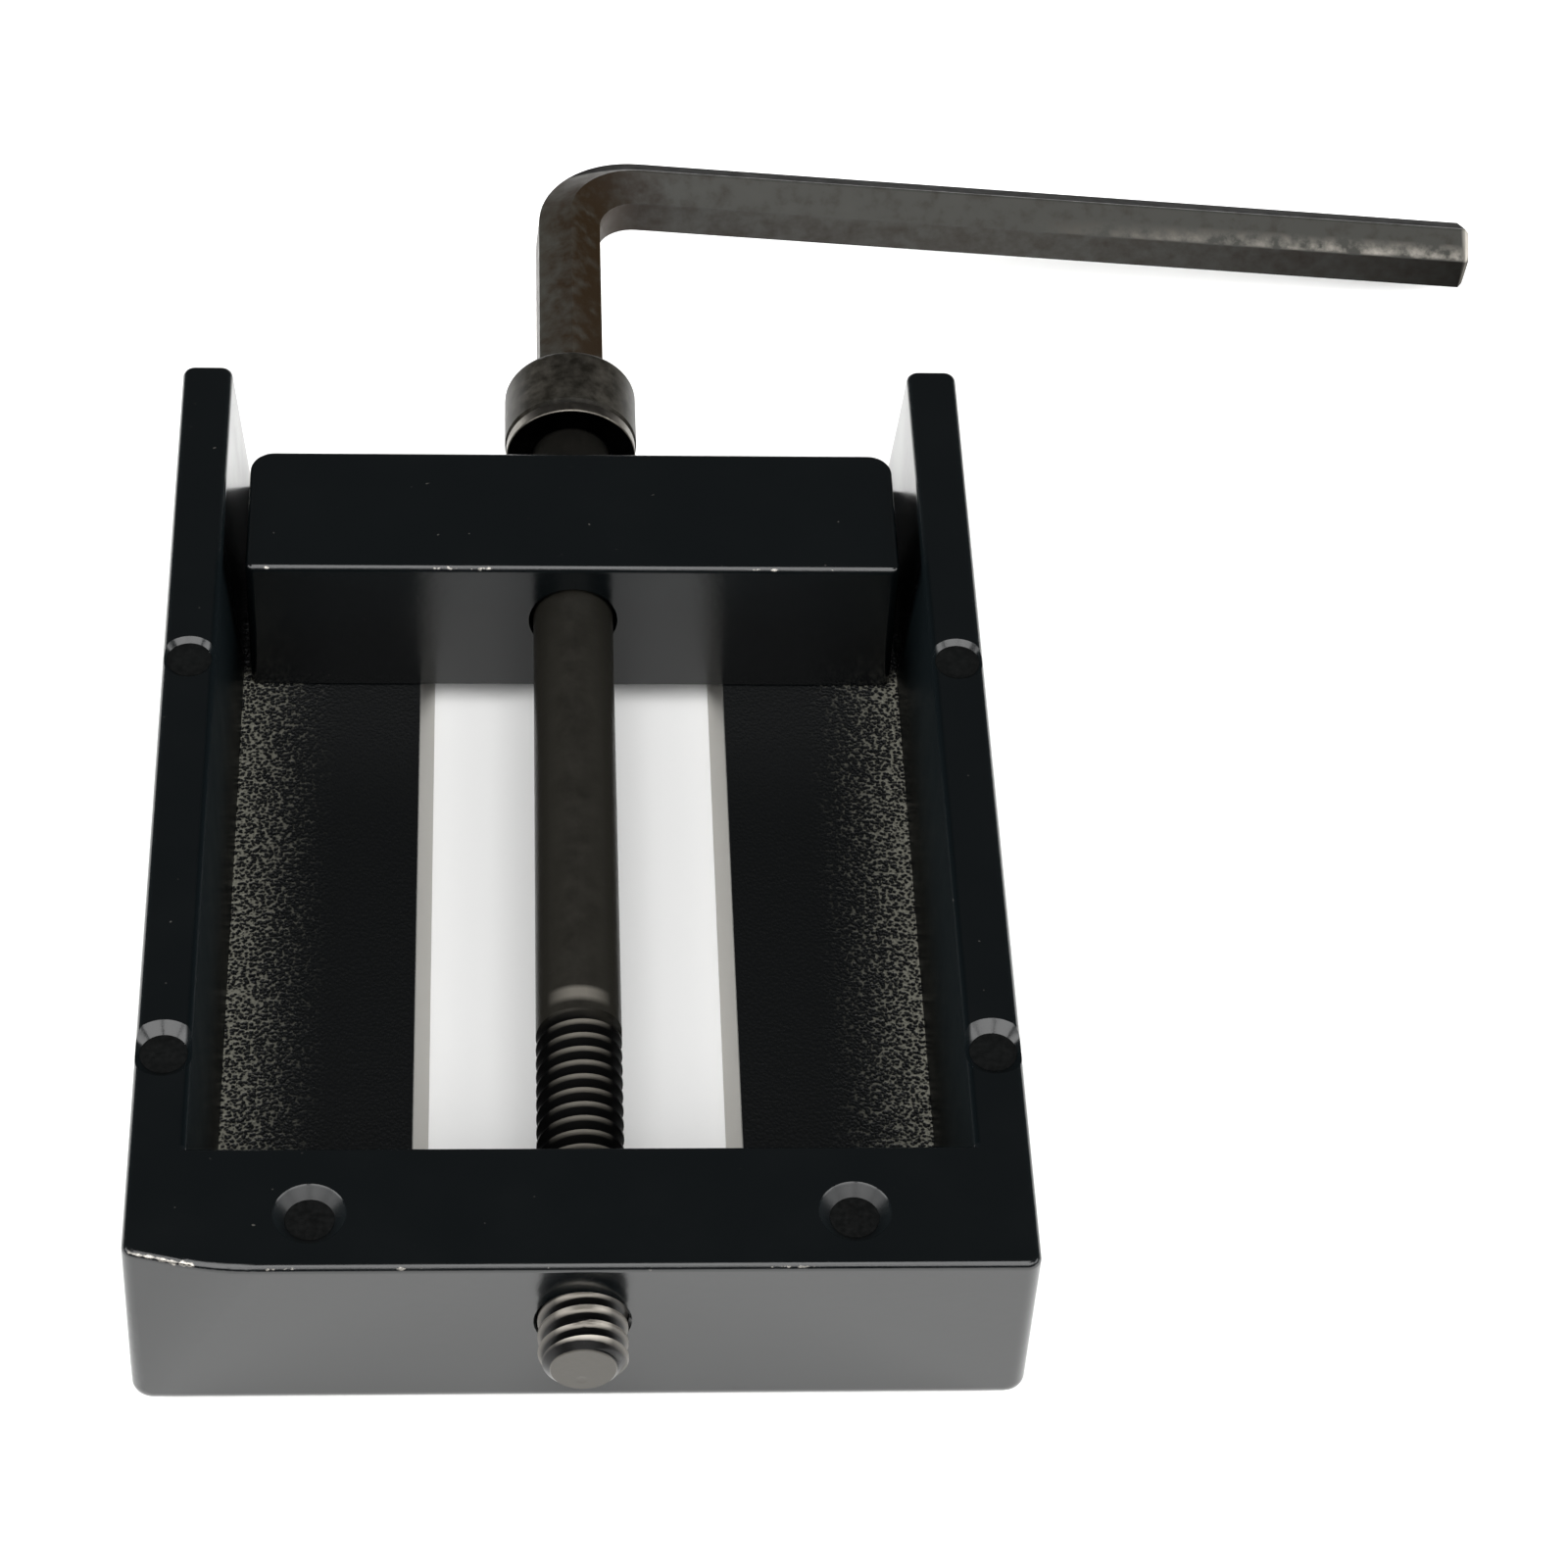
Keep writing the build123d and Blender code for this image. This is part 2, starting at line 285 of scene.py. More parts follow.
def black_enamel(name, finish, front, top, on_frame):
    """Stoved black enamel, sprayed on steel.

    It is close to black with a soft gloss, slightly rippled like the skin of an orange. It is
    chipped to bare steel along its top front edge and carries a few pale specks of dust. On the
    frame it is worn at the left corner, and lies thick and matt in the bar's sunk mouths and on the
    rails' inner walls in front of the jaw.
    """
    material, tree, where = new_material(name)
    extra = None
    if on_frame:
        axes = node(tree, "ShaderNodeSeparateXYZ", {0: where})
        worn = node(
            tree,
            "ShaderNodeMapRange",
            {
                "Value": axes.outputs["X"],
                "From Min": worn_corner_start,
                "From Max": frame_low[0],
                "To Min": front,
                "To Max": front + worn_corner_depth,
            },
        )
        front = worn.outputs[0]
        more = node(
            tree,
            "ShaderNodeMapRange",
            {
                "Value": axes.outputs["X"],
                "From Min": corner_wear_fade[0],
                "From Max": corner_wear_fade[1],
                "To Max": corner_chip_reach,
            },
        )
        extra = more.outputs[0]
    chips = edge_chips(tree, where, front, top, extra)
    dust_and_glint = node(
        tree,
        "ShaderNodeTexNoise",
        {"Vector": where, "Scale": 1 / dust_speck, "Detail": 1.0},
    )
    specks = node(
        tree,
        "ShaderNodeMapRange",
        {"Value": dust_and_glint.outputs["Fac"], "From Min": 0.8, "From Max": 0.85, "To Max": 0.1},
    )
    bare = node(tree, "ShaderNodeMath", {0: chips, 1: specks.outputs[0]}, operation="MAXIMUM")
    colour = node(
        tree,
        "ShaderNodeMix",
        {"Factor": bare.outputs[0], "A": finish.enamel_colour, "B": finish.chip_colour},
        data_type="RGBA",
    )
    cloud = node(
        tree,
        "ShaderNodeTexNoise",
        {"Vector": where, "Scale": 1 / gloss_cloud, "Detail": 3.0},
    )
    gloss = node(
        tree,
        "ShaderNodeMapRange",
        {
            "Value": cloud.outputs["Fac"],
            "From Min": NOISE_LOW,
            "From Max": NOISE_HIGH,
            "To Min": 0.14,
            "To Max": 0.24,
        },
    )
    sheen = {"Roughness": gloss.outputs[0]}
    if on_frame:
        mouths = bar_mouths(tree, where, top)
        side = node(tree, "ShaderNodeMath", {0: axes.outputs["X"]}, operation="ABSOLUTE")
        inside = node(
            tree,
            "ShaderNodeMapRange",
            {"Value": side.outputs[0], "From Min": wall_fade[0], "From Max": wall_fade[1]},
        )
        past_bar = node(
            tree,
            "ShaderNodeMapRange",
            {
                "Value": axes.outputs["Y"],
                "From Min": past_bar_fade[0],
                "From Max": past_bar_fade[1],
            },
        )
        before_jaw = node(
            tree,
            "ShaderNodeMapRange",
            {
                "Value": axes.outputs["Y"],
                "From Min": matt_wall_fade[0],
                "From Max": matt_wall_fade[1],
            },
        )
        between = node(
            tree,
            "ShaderNodeMath",
            {0: past_bar.outputs[0], 1: before_jaw.outputs[0]},
            operation="MULTIPLY",
        )
        walls = node(
            tree,
            "ShaderNodeMath",
            {0: inside.outputs[0], 1: between.outputs[0]},
            operation="MULTIPLY",
        )
        matt = node(tree, "ShaderNodeMath", {0: mouths, 1: walls.outputs[0]}, operation="MAXIMUM")
        dull = node(
            tree,
            "ShaderNodeMath",
            {0: matt.outputs[0], 1: matt_roughness, 2: gloss.outputs[0]},
            operation="MULTIPLY_ADD",
        )
        mouth_shine = node(
            tree,
            "ShaderNodeMapRange",
            {"Value": mouths, "To Min": 0.5, "To Max": 0.4},
        )
        kept = node(
            tree,
            "ShaderNodeMapRange",
            {"Value": walls.outputs[0], "To Min": 1.0, "To Max": 0.08},
        )
        shine = node(
            tree,
            "ShaderNodeMath",
            {0: mouth_shine.outputs[0], 1: kept.outputs[0]},
            operation="MULTIPLY",
        )
        sheen = {"Roughness": dull.outputs[0], "Specular IOR Level": shine.outputs[0]}
    peel = node(
        tree,
        "ShaderNodeTexNoise",
        {"Vector": where, "Scale": 1 / peel_width, "Detail": 2.0},
    )
    raised = node(tree, "ShaderNodeMath", {0: peel.outputs["Fac"], 1: chips}, operation="SUBTRACT")
    ripple = node(
        tree,
        "ShaderNodeBump",
        {"Height": raised.outputs[0], "Strength": 0.12, "Distance": peel_depth * MM},
    )
    shader = node(
        tree,
        "ShaderNodeBsdfPrincipled",
        {
            "Base Color": colour.outputs["Result"],
            "Metallic": chips,
            **sheen,
            "IOR": 1.6,
            "Normal": ripple.outputs["Normal"],
        },
    )
    node(tree, "ShaderNodeOutputMaterial", {"Surface": shader.outputs["BSDF"]})
    return material


def wrinkle_paint(finish):
    """Black wrinkle paint on rolled plate, milled back to bare metal along the slot's bevel.

    Work has rubbed its grain nearly smooth towards the slot, where it stays black. Beside the rails
    the grain is sharp, and in front of the jaw its grains carry a painted pale grey highlight,
    brightest at the foot of the rail. Behind the jaw's front face this highlight is left out as the
    jaw's painted shadow. The bevel is bright.
    """
    material, tree, where = new_material("black_wrinkle_paint")
    grain_mm = finish.grain_size / MM
    axes = node(tree, "ShaderNodeSeparateXYZ", {0: where})
    side = node(tree, "ShaderNodeMath", {0: axes.outputs["X"]}, operation="ABSOLUTE")
    bevel = node(
        tree,
        "ShaderNodeMapRange",
        {"Value": side.outputs[0], "From Min": bevel_fade[0], "From Max": bevel_fade[1]},
    )
    beside_rail = node(
        tree,
        "ShaderNodeMapRange",
        {
            "Value": side.outputs[0],
            "From Min": beside_rail_fade[0],
            "From Max": beside_rail_fade[1],
        },
    )
    bend = node(tree, "ShaderNodeTexNoise", {"Vector": where, "Scale": 1 / grain_mm, "Detail": 2.0})
    shifted = node(
        tree,
        "ShaderNodeVectorMath",
        {0: bend.outputs["Color"], 1: (grain_mm, grain_mm, grain_mm), 2: where},
        operation="MULTIPLY_ADD",
    )
    grains = node(
        tree,
        "ShaderNodeTexVoronoi",
        {"Vector": shifted.outputs["Vector"], "Scale": 1 / grain_mm, "Randomness": 1.0},
    )
    # Painted highlight: pale grey glints on the grain beside the rails, brightest at the foot of
    # the rail.
    glint_level = node(
        tree,
        "ShaderNodeMath",
        {0: beside_rail.outputs[0], 1: glint_bias, 2: grains.outputs["Distance"]},
        operation="MULTIPLY_ADD",
    )
    glinting_grains = node(
        tree,
        "ShaderNodeMapRange",
        {"Value": glint_level.outputs[0], "From Min": 0.74, "From Max": 0.94},
    )
    # How fast the painted grain highlight fades away from the rail.
    thick = node(
        tree,
        "ShaderNodeMath",
        {0: beside_rail.outputs[0], 1: glint_steepness},
        operation="POWER",
    )
    uncovered = node(
        tree,
        "ShaderNodeMapRange",
        {"Value": side.outputs[0], "From Min": uncovered_fade[0], "From Max": uncovered_fade[1]},
    )
    # Painted shadow of the jaw: behind its front face the grain highlight is left out.
    outside_jaw_shadow = node(
        tree,
        "ShaderNodeMapRange",
        {"Value": axes.outputs["Y"], "From Min": jaw_shadow_fade[0], "From Max": jaw_shadow_fade[1]},
    )
    open_glint = node(
        tree,
        "ShaderNodeMath",
        {0: thick.outputs[0], 1: uncovered.outputs[0]},
        operation="MULTIPLY",
    )
    unshaded_glint = node(
        tree,
        "ShaderNodeMath",
        {0: open_glint.outputs[0], 1: outside_jaw_shadow.outputs[0]},
        operation="MULTIPLY",
    )
    dust_and_glint = node(
        tree,
        "ShaderNodeMath",
        {0: glinting_grains.outputs[0], 1: unshaded_glint.outputs[0]},
        operation="MULTIPLY",
    )
    sharp = node(
        tree,
        "ShaderNodeMapRange",
        {"Value": beside_rail.outputs[0], "To Min": 0.1, "To Max": 0.6},
    )
    height = node(
        tree,
        "ShaderNodeMath",
        {0: grains.outputs["Distance"], 1: sharp.outputs[0]},
        operation="MULTIPLY",
    )
    painted = node(tree, "ShaderNodeMath", {0: 1.0, 1: bevel.outputs[0]}, operation="SUBTRACT")
    bumps = node(
        tree,
        "ShaderNodeBump",
        {"Height": height.outputs[0], "Strength": painted.outputs[0], "Distance": grain_depth * MM},
    )
    # The painted grain highlight is mixed into the paint's colour here.
    grey = node(
        tree,
        "ShaderNodeMix",
        {"Factor": dust_and_glint.outputs[0], "A": finish.paint_colour, "B": finish.grain_glint_colour},
        data_type="RGBA",
    )
    colour = node(
        tree,
        "ShaderNodeMix",
        {"Factor": bevel.outputs[0], "A": grey.outputs["Result"], "B": finish.milled_colour},
        data_type="RGBA",
    )
    shader = node(
        tree,
        "ShaderNodeBsdfPrincipled",
        {
            "Base Color": colour.outputs["Result"],
            "Metallic": bevel.outputs[0],
            "Roughness": 0.4,
            "Specular IOR Level": 0.4,
            "Normal": bumps.outputs["Normal"],
        },
    )
    node(tree, "ShaderNodeOutputMaterial", {"Surface": shader.outputs["BSDF"]})
    return material


def rivet_black(finish):
    """Chemically blackened steel, cut flat: a little greyer and duller than the enamel round it."""
    material, tree, where = new_material("blackened_rivet_steel")
    turned = node(
        tree,
        "ShaderNodeTexNoise",
        {"Vector": where, "Scale": 1 / rivet_mark_width, "Detail": 3.0},
    )
    dull = node(
        tree,
        "ShaderNodeMapRange",
        {
            "Value": turned.outputs["Fac"],
            "From Min": NOISE_LOW,
            "From Max": NOISE_HIGH,
            "To Min": 0.32,
            "To Max": 0.5,
        },
    )
    marks = node(
        tree,
        "ShaderNodeBump",
        {"Height": turned.outputs["Fac"], "Strength": 0.2, "Distance": rivet_mark_depth * MM},
    )
    shader = node(
        tree,
        "ShaderNodeBsdfPrincipled",
        {
            "Base Color": finish.rivet_colour,
            "Roughness": dull.outputs[0],
            "Specular IOR Level": 0.3,
            "Normal": marks.outputs["Normal"],
        },
    )
    node(tree, "ShaderNodeOutputMaterial", {"Surface": shader.outputs["BSDF"]})
    return material


def black_oxide(finish):
    """Rolled screw steel with a black oxide skin.

    The shank is an even charcoal with a few nicks, with worn, paler patches that are kept to its
    top as a painted highlight, and painted shade behind the jaw. Along their top the thread's
    crests and a band at the taper are painted grey as a highlight, and the grooves and the thread's
    sides are painted black as shade. Outside the bar the tip's crests are bare steel with a painted
    highlight that is brightest on top, and its end face is grey. The head is a dull, warm black.
    """
    material, tree, where = new_material("black_oxide_screw_steel")
    axes = node(tree, "ShaderNodeSeparateXYZ", {0: where})
    along = axes.outputs["Y"]
    flat = node(
        tree,
        "ShaderNodeVectorMath",
        {0: where, 1: (1.0, 0.0, 1.0), 2: (0.0, 0.0, -screw_axis_height)},
        operation="MULTIPLY_ADD",
    )
    out = node(tree, "ShaderNodeVectorMath", {0: flat.outputs["Vector"]}, operation="LENGTH")
    radius = out.outputs["Value"]
    crest = node(
        tree,
        "ShaderNodeMapRange",
        {"Value": radius, "From Min": crest_fade[0], "From Max": crest_fade[1]},
    )
    threaded = node(
        tree,
        "ShaderNodeMapRange",
        {"Value": along, "From Min": thread_fade[0], "From Max": thread_fade[1]},
    )
    up_to_taper = node(
        tree,
        "ShaderNodeMapRange",
        {"Value": along, "From Min": taper_end_fade[0], "From Max": taper_end_fade[1]},
    )
    side = node(tree, "ShaderNodeMath", {0: axes.outputs["X"]}, operation="ABSOLUTE")
    # Painted highlight: the screw is painted paler along its top.
    top_highlight = node(
        tree,
        "ShaderNodeMapRange",
        {"Value": side.outputs[0], "From Min": screw_highlight_fade[0], "From Max": screw_highlight_fade[1]},
    )
    tip = node(
        tree,
        "ShaderNodeMapRange",
        {"Value": along, "From Min": tip_fade[0], "From Max": tip_fade[1]},
    )
    head = node(
        tree,
        "ShaderNodeMapRange",
        {"Value": radius, "From Min": head_fade[0], "From Max": head_fade[1]},
    )
    rub = node(
        tree,
        "ShaderNodeTexNoise",
        {"Vector": where, "Scale": 1 / rub_width, "Detail": 5.0, "Roughness": 0.65},
    )
    patches = node(
        tree,
        "ShaderNodeMapRange",
        {"Value": rub.outputs["Fac"], "From Min": 0.3, "From Max": 0.8, "To Max": 0.1},
    )
    # Worn patches, kept to the top of the screw as a painted highlight.
    wear_and_highlight = node(
        tree,
        "ShaderNodeMath",
        {0: patches.outputs[0], 1: top_highlight.outputs[0]},
        operation="MULTIPLY",
    )
    body = node(
        tree,
        "ShaderNodeMix",
        {"Factor": wear_and_highlight.outputs[0], "A": finish.oxide_colour, "B": finish.worn_oxide_and_highlight_colour},
        data_type="RGBA",
    )
    # Painted highlight: a band on the taper before the thread.
    from_taper = node(
        tree,
        "ShaderNodeMapRange",
        {"Value": along, "From Min": taper_start_fade[0], "From Max": taper_start_fade[1]},
    )
    taper = node(
        tree,
        "ShaderNodeMath",
        {0: up_to_taper.outputs[0], 1: from_taper.outputs[0]},
        operation="MULTIPLY",
    )
    crests = node(
        tree,
        "ShaderNodeMath",
        {0: crest.outputs[0], 1: threaded.outputs[0]},
        operation="MULTIPLY",
    )
    raised = node(
        tree,
        "ShaderNodeMath",
        {0: crests.outputs[0], 1: taper.outputs[0]},
        operation="ADD",
    )
    # Painted highlight on the crests and the taper band along the top.
    rub_and_highlight = node(
        tree,
        "ShaderNodeMath",
        {0: raised.outputs[0], 1: top_highlight.outputs[0]},
        operation="MULTIPLY",
    )
    # Painted shade in the thread's grooves and along its sides.
    thread_shade = node(
        tree,
        "ShaderNodeMath",
        {0: threaded.outputs[0], 1: rub_and_highlight.outputs[0]},
        operation="SUBTRACT",
    )
    # Painted shade on the shank behind the jaw, under the head.
    behind_jaw = node(
        tree,
        "ShaderNodeMapRange",
        {
            "Value": along,
            "From Min": behind_jaw_fade[0],
            "From Max": behind_jaw_fade[1],
            "To Max": 0.6,
        },
    )
    screw_shade = node(
        tree,
        "ShaderNodeMath",
        {0: thread_shade.outputs[0], 1: behind_jaw.outputs[0]},
        operation="MAXIMUM",
    )
    brown_and_shade = node(
        tree,
        "ShaderNodeMix",
        {"Factor": screw_shade.outputs[0], "A": body.outputs["Result"], "B": finish.painted_shade_colour},
        data_type="RGBA",
    )
    with_thread = node(
        tree,
        "ShaderNodeMix",
        {"Factor": rub_and_highlight.outputs[0], "A": brown_and_shade.outputs["Result"], "B": finish.worn_oxide_and_highlight_colour},
        data_type="RGBA",
    )
    end_face = node(
        tree,
        "ShaderNodeMapRange",
        {"Value": along, "From Min": screw_end_fade[0], "From Max": screw_end_fade[1]},
    )
    with_end = node(
        tree,
        "ShaderNodeMix",
        {"Factor": end_face.outputs[0], "A": with_thread.outputs["Result"], "B": finish.end_colour},
        data_type="RGBA",
    )
    mottled = node(
        tree,
        "ShaderNodeMapRange",
        {"Value": rub.outputs["Fac"], "From Min": 0.4, "From Max": 0.75, "To Max": 0.18},
    )
    handled = node(
        tree,
        "ShaderNodeMix",
        {"Factor": mottled.outputs[0], "A": finish.head_colour, "B": finish.worn_oxide_and_highlight_colour},
        data_type="RGBA",
    )
    with_head = node(
        tree,
        "ShaderNodeMix",
        {
            "Factor": head.outputs[0],
            "A": with_end.outputs["Result"],
            "B": handled.outputs["Result"],
        },
        data_type="RGBA",
    )
    wide_crest = node(
        tree,
        "ShaderNodeMapRange",
        {"Value": radius, "From Min": tip_crest_fade[0], "From Max": tip_crest_fade[1]},
    )
    on_tip = node(
        tree,
        "ShaderNodeMath",
        {0: tip.outputs[0], 1: wide_crest.outputs[0]},
        operation="MULTIPLY",
    )
    # Painted highlight: the tip's bare crests are brightest on top.
    tip_top_highlight = node(
        tree,
        "ShaderNodeMapRange",
        {
            "Value": side.outputs[0],
            "From Min": tip_highlight_fade[0],
            "From Max": tip_highlight_fade[1],
            "To Min": 0.1,
        },
    )
    bare = node(
        tree,
        "ShaderNodeMath",
        {0: on_tip.outputs[0], 1: tip_top_highlight.outputs[0]},
        operation="MULTIPLY",
    )
    colour = node(
        tree,
        "ShaderNodeMix",
        {
            "Factor": bare.outputs[0],
            "A": with_head.outputs["Result"],
            "B": finish.bare_steel_colour,
        },
        data_type="RGBA",
    )
    nick = node(
        tree,
        "ShaderNodeTexVoronoi",
        {"Vector": where, "Scale": 1 / nick_spacing, "Randomness": 1.0},
    )
    pits = node(
        tree,
        "ShaderNodeMapRange",
        {
            "Value": nick.outputs["Distance"],
            "From Min": 0.05,
            "From Max": 0.12,
            "To Min": -1.0,
            "To Max": 0.0,
        },
    )
    relief = node(
        tree,
        "ShaderNodeMath",
        {0: rub.outputs["Fac"], 1: pits.outputs[0]},
        operation="ADD",
    )
    dents = node(
        tree,
        "ShaderNodeBump",
        {"Height": relief.outputs[0], "Strength": 0.2, "Distance": rub_depth * MM},
    )
    clean = node(
        tree,
        "ShaderNodeMapRange",
        {"Value": head.outputs[0], "To Min": 0.3, "To Max": 0.05},
    )
    metal = node(
        tree,
        "ShaderNodeMath",
        {0: clean.outputs[0], 1: bare.outputs[0]},
        operation="MAXIMUM",
    )
    shine = node(
        tree,
        "ShaderNodeMapRange",
        {"Value": head.outputs[0], "To Min": 0.3, "To Max": 0.06},
    )
    dull = node(
        tree,
        "ShaderNodeMapRange",
        {"Value": bare.outputs[0], "To Min": 0.36, "To Max": 0.42},
    )
    shader = node(
        tree,
        "ShaderNodeBsdfPrincipled",
        {
            "Base Color": colour.outputs["Result"],
            "Metallic": metal.outputs[0],
            "Roughness": dull.outputs[0],
            "Specular IOR Level": shine.outputs[0],
            "Normal": dents.outputs["Normal"],
        },
    )
    node(tree, "ShaderNodeOutputMaterial", {"Surface": shader.outputs["BSDF"]})
    return material


def turned_washer(finish):
    """Turned steel, dulled by handling.

    It is bright where its rim meets the light, and its face towards the jaw is painted black as
    shade.
    """
    material, tree, where = new_material("turned_washer_steel")
    rings = node(
        tree,
        "ShaderNodeTexNoise",
        {"Vector": where, "Scale": 1 / washer_mark_width, "Detail": 3.0},
    )
    dull = node(
        tree,
        "ShaderNodeMapRange",
        {
            "Value": rings.outputs["Fac"],
            "From Min": NOISE_LOW,
            "From Max": NOISE_HIGH,
            "To Min": 0.28,
            "To Max": 0.44,
        },
    )
    marks = node(
        tree,
        "ShaderNodeBump",
        {"Height": rings.outputs["Fac"], "Strength": 0.15, "Distance": washer_mark_depth * MM},
    )
    axes = node(tree, "ShaderNodeSeparateXYZ", {0: where})
    # Painted shade: the washer's face towards the jaw is painted black.
    face = node(
        tree,
        "ShaderNodeMapRange",
        {
            "Value": axes.outputs["Y"],
            "From Min": washer_face_fade[0],
            "From Max": washer_face_fade[1],
        },
    )
    colour = node(
        tree,
        "ShaderNodeMix",
        {"Factor": face.outputs[0], "A": finish.washer_colour, "B": finish.painted_shade_colour},
        data_type="RGBA",
    )
    shader = node(
        tree,
        "ShaderNodeBsdfPrincipled",
        {
            "Base Color": colour.outputs["Result"],
            "Metallic": 1.0,
            "Roughness": dull.outputs[0],
            "Normal": marks.outputs["Normal"],
        },
    )
    node(tree, "ShaderNodeOutputMaterial", {"Surface": shader.outputs["BSDF"]})
    return material


def tempered_key(finish):
    """Drawn hexagon steel, oil tempered.

    It is a dark olive grey, browner on its short arm, with cloudy scale, and painted shade makes it
    browner underneath. Painted shade makes its back and the underside of its free end near black,
    and they are dull. Above its front corner the long arm is rubbed paler, more so towards its free
    end, and the end itself has a painted highlight with some wear.
    """
    material, tree, where = new_material("oil_tempered_key_steel")
    axes = node(tree, "ShaderNodeSeparateXYZ", {0: where})
    cloud = node(
        tree,
        "ShaderNodeTexNoise",
        {"Vector": where, "Scale": 1 / scale_width, "Detail": 5.0, "Roughness": 0.6},
    )
    from_right = node(
        tree,
        "ShaderNodeMath",
        {0: axes.outputs["X"], 1: key_half_flat},
        operation="SUBTRACT",
    )
    off_face = node(tree, "ShaderNodeMath", {0: from_right.outputs[0]}, operation="ABSOLUTE")
    short_arm = node(
        tree,
        "ShaderNodeMapRange",
        {
            "Value": off_face.outputs[0],
            "From Min": key_bend_end,
            "From Max": 0.0,
            "To Min": -0.15,
            "To Max": 0.35,
        },
    )
    from_line = node(
        tree,
        "ShaderNodeVectorMath",
        {0: where, 1: (0.0, key_long_line, screw_axis_height)},
        operation="SUBTRACT",
    )
    height = node(
        tree,
        "ShaderNodeVectorMath",
        {0: from_line.outputs["Vector"], 1: (math.sin(key_lean), 0.0, math.cos(key_lean))},
        operation="DOT_PRODUCT",
    )
    # Painted shade: the key's underside is browner.
    under = node(
        tree,
        "ShaderNodeMapRange",
        {
            "Value": height.outputs["Value"],
            "From Min": key_under_fade[0],
            "From Max": key_under_fade[1],
        },
    )
    brown_and_shade = node(
        tree,
        "ShaderNodeMath",
        {0: under.outputs[0], 1: under_brown, 2: short_arm.outputs[0]},
        operation="MULTIPLY_ADD",
    )
    brown = node(
        tree,
        "ShaderNodeMath",
        {0: cloud.outputs["Fac"], 1: brown_and_shade.outputs[0]},
        operation="ADD",
    )
    shift = node(
        tree,
        "ShaderNodeMapRange",
        {"Value": brown.outputs[0], "From Min": 0.35, "From Max": 0.8},
    )
    skin = node(
        tree,
        "ShaderNodeMix",
        {"Factor": shift.outputs[0], "A": finish.key_colour, "B": finish.key_brown},
        data_type="RGBA",
    )
    above = node(
        tree,
        "ShaderNodeMapRange",
        {
            "Value": height.outputs["Value"],
            "From Min": key_above_fade[0],
            "From Max": key_above_fade[1],
        },
    )
    near_corner = node(
        tree,
        "ShaderNodeMapRange",
        {
            "Value": height.outputs["Value"],
            "From Min": key_corner_fade[0],
            "From Max": key_corner_fade[1],
        },
    )
    worn = node(
        tree,
        "ShaderNodeMapRange",
        {
            "Value": axes.outputs["X"],
            "From Min": key_far_fade[0],
            "From Max": key_far_fade[1],
            "To Max": 0.4,
        },
    )
    patchy = node(
        tree,
        "ShaderNodeMapRange",
        {"Value": cloud.outputs["Fac"], "From Min": 0.4, "From Max": 0.7},
    )
    strip = node(
        tree,
        "ShaderNodeMath",
        {0: above.outputs[0], 1: near_corner.outputs[0]},
        operation="MULTIPLY",
    )
    rub_and_highlight = node(
        tree,
        "ShaderNodeMath",
        {0: strip.outputs[0], 1: worn.outputs[0]},
        operation="MULTIPLY",
    )
    streak = node(
        tree,
        "ShaderNodeMath",
        {0: rub_and_highlight.outputs[0], 1: patchy.outputs[0]},
        operation="MULTIPLY",
    )
    # Painted highlight on the chamfer of the key's end, partly wear.
    end = node(
        tree,
        "ShaderNodeMapRange",
        {
            "Value": axes.outputs["X"],
            "From Min": key_end_fade[0],
            "From Max": key_end_fade[1],
            "To Max": 0.25,
        },
    )
    bright = node(
        tree,
        "ShaderNodeMath",
        {0: streak.outputs[0], 1: end.outputs[0]},
        operation="MAXIMUM",
    )
    rubbed_and_highlit_skin = node(
        tree,
        "ShaderNodeMix",
        {"Factor": bright.outputs[0], "A": skin.outputs["Result"], "B": finish.bare_steel_colour},
        data_type="RGBA",
    )
    line_axes = node(tree, "ShaderNodeSeparateXYZ", {0: from_line.outputs["Vector"]})
    # Painted shade: the key's back and the underside of its free end are painted near black.
    back = node(
        tree,
        "ShaderNodeMapRange",
        {
            "Value": line_axes.outputs["Y"],
            "From Min": key_back_fade[0],
            "From Max": key_back_fade[1],
            "To Max": 0.85,
        },
    )
    far = node(
        tree,
        "ShaderNodeMapRange",
        {
            "Value": axes.outputs["X"],
            "From Min": key_far_fade[0],
            "From Max": key_far_fade[1],
            "To Max": 0.75,
        },
    )
    far_under = node(
        tree,
        "ShaderNodeMath",
        {0: under.outputs[0], 1: far.outputs[0]},
        operation="MULTIPLY",
    )
    key_shade = node(
        tree,
        "ShaderNodeMath",
        {0: back.outputs[0], 1: far_under.outputs[0]},
        operation="MAXIMUM",
    )
    colour = node(
        tree,
        "ShaderNodeMix",
        {"Factor": key_shade.outputs[0], "A": rubbed_and_highlit_skin.outputs["Result"], "B": finish.painted_shade_colour},
        data_type="RGBA",
    )
    dull = node(
        tree,
        "ShaderNodeMapRange",
        {
            "Value": cloud.outputs["Fac"],
            "From Min": NOISE_LOW,
            "From Max": NOISE_HIGH,
            "To Min": 0.36,
            "To Max": 0.5,
        },
    )
    shine = node(
        tree,
        "ShaderNodeMapRange",
        {"Value": key_shade.outputs[0], "From Max": 0.75, "To Min": 0.25, "To Max": 0.0},
    )
    scale_marks = node(
        tree,
        "ShaderNodeBump",
        {"Height": cloud.outputs["Fac"], "Strength": 0.15, "Distance": scale_depth * MM},
    )
    shader = node(
        tree,
        "ShaderNodeBsdfPrincipled",
        {
            "Base Color": colour.outputs["Result"],
            "Metallic": 0.15,
            "Roughness": dull.outputs[0],
            "Specular IOR Level": shine.outputs[0],
            "Normal": scale_marks.outputs["Normal"],
        },
    )
    node(tree, "ShaderNodeOutputMaterial", {"Surface": shader.outputs["BSDF"]})
    return material


